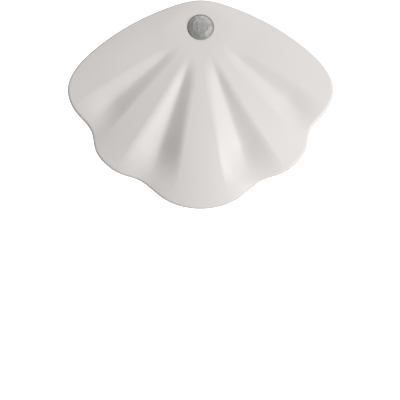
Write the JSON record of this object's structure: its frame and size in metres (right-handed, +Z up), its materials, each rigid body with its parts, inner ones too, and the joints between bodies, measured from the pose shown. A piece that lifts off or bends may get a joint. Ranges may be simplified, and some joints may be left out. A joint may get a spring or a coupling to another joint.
{
  "type": "motion sensor wall light",
  "caption": "Scallop-shaped wall light with a motion sensor dome, side push buttons and a lamp that shines down from under its hem; it pulls off a magnetic wall plate.",
  "frame": {"origin": "middle of the adhesive pad's back face, on the wall", "axes": "+X to the right seen from the front, +Y into the wall, +Z up"},
  "size_m": [0.1406, 0.0427, 0.1108],
  "materials": {
    "white_plastic": "satin moulded",
    "lens_frost": "frosted translucent",
    "lamp_glow": "milky translucent",
    "button_plastic": "satin moulded",
    "inner_plastic": "plain moulded",
    "black_plastic": "plain moulded",
    "board_green": "solder mask",
    "chip_black": "moulded package",
    "bright_metal": "plated",
    "plate_steel": "zinc plated",
    "cell_wrap": "shrink film",
    "heat_metal": "as rolled",
    "mirror_coat": "metallised",
    "phosphor": "phosphor gel",
    "lead_red": "wire insulation",
    "foam": "closed-cell foam",
    "tape": "foam tape"
  },
  "bodies": {
    "wall_mount": {"wall_plate": "plate_steel", "adhesive_pad": "tape"},
    "case": {"front_shell": "white_plastic", "rear_housing": "white_plastic", "lamp_collar": "white_plastic", "sensor_lens": "lens_frost", "lamp_lens": "lamp_glow", "sensor_lens_ring": "inner_plastic", "lamp_lock_ring": "inner_plastic", "power_switch": "black_plastic", "mode_switch": "black_plastic", "charge_socket_tongue": "black_plastic", "pyro_sensor": "bright_metal", "pyro_window": "chip_black", "daylight_sensor": "chip_black", "main_board": "board_green", "battery_end_board": "board_green", "controller_chip": "chip_black", "charger_chip": "chip_black", "inductor": "chip_black", "resistors": "chip_black", "storage_capacitor": "heat_metal", "board_screws": "bright_metal", "housing_screws": "bright_metal", "charge_socket": "bright_metal", "battery_cell": "cell_wrap", "battery_pad": "foam", "battery_leads": "lead_red", "lamp_leads": "lead_red", "battery_plug": "inner_plastic", "lamp_plug": "inner_plastic", "lamp_reflector": "mirror_coat", "lamp_led": "phosphor", "lamp_led_board": "heat_metal", "lamp_heat_plate": "heat_metal", "magnets": "bright_metal"},
    "power_key": {"power_button": "button_plastic", "power_switch_stem": "inner_plastic"},
    "mode_key": {"mode_button": "button_plastic", "mode_switch_stem": "inner_plastic"}
  },
  "joints": [
    {"name": "case_lift_off", "type": "slide", "parent": "wall_mount", "child": "case", "axis": [0, -1, 0], "range_m": [0, 0.04]},
    {"name": "power_button_press", "type": "slide", "parent": "case", "child": "power_key", "axis": [-0.6163, -0.1178, -0.7787], "range_m": [0, 0.0005], "stiffness_N_per_m": 3000},
    {"name": "mode_button_press", "type": "slide", "parent": "case", "child": "mode_key", "axis": [-0.6163, -0.1178, -0.7787], "range_m": [0, 0.0005], "stiffness_N_per_m": 3000}
  ]
}
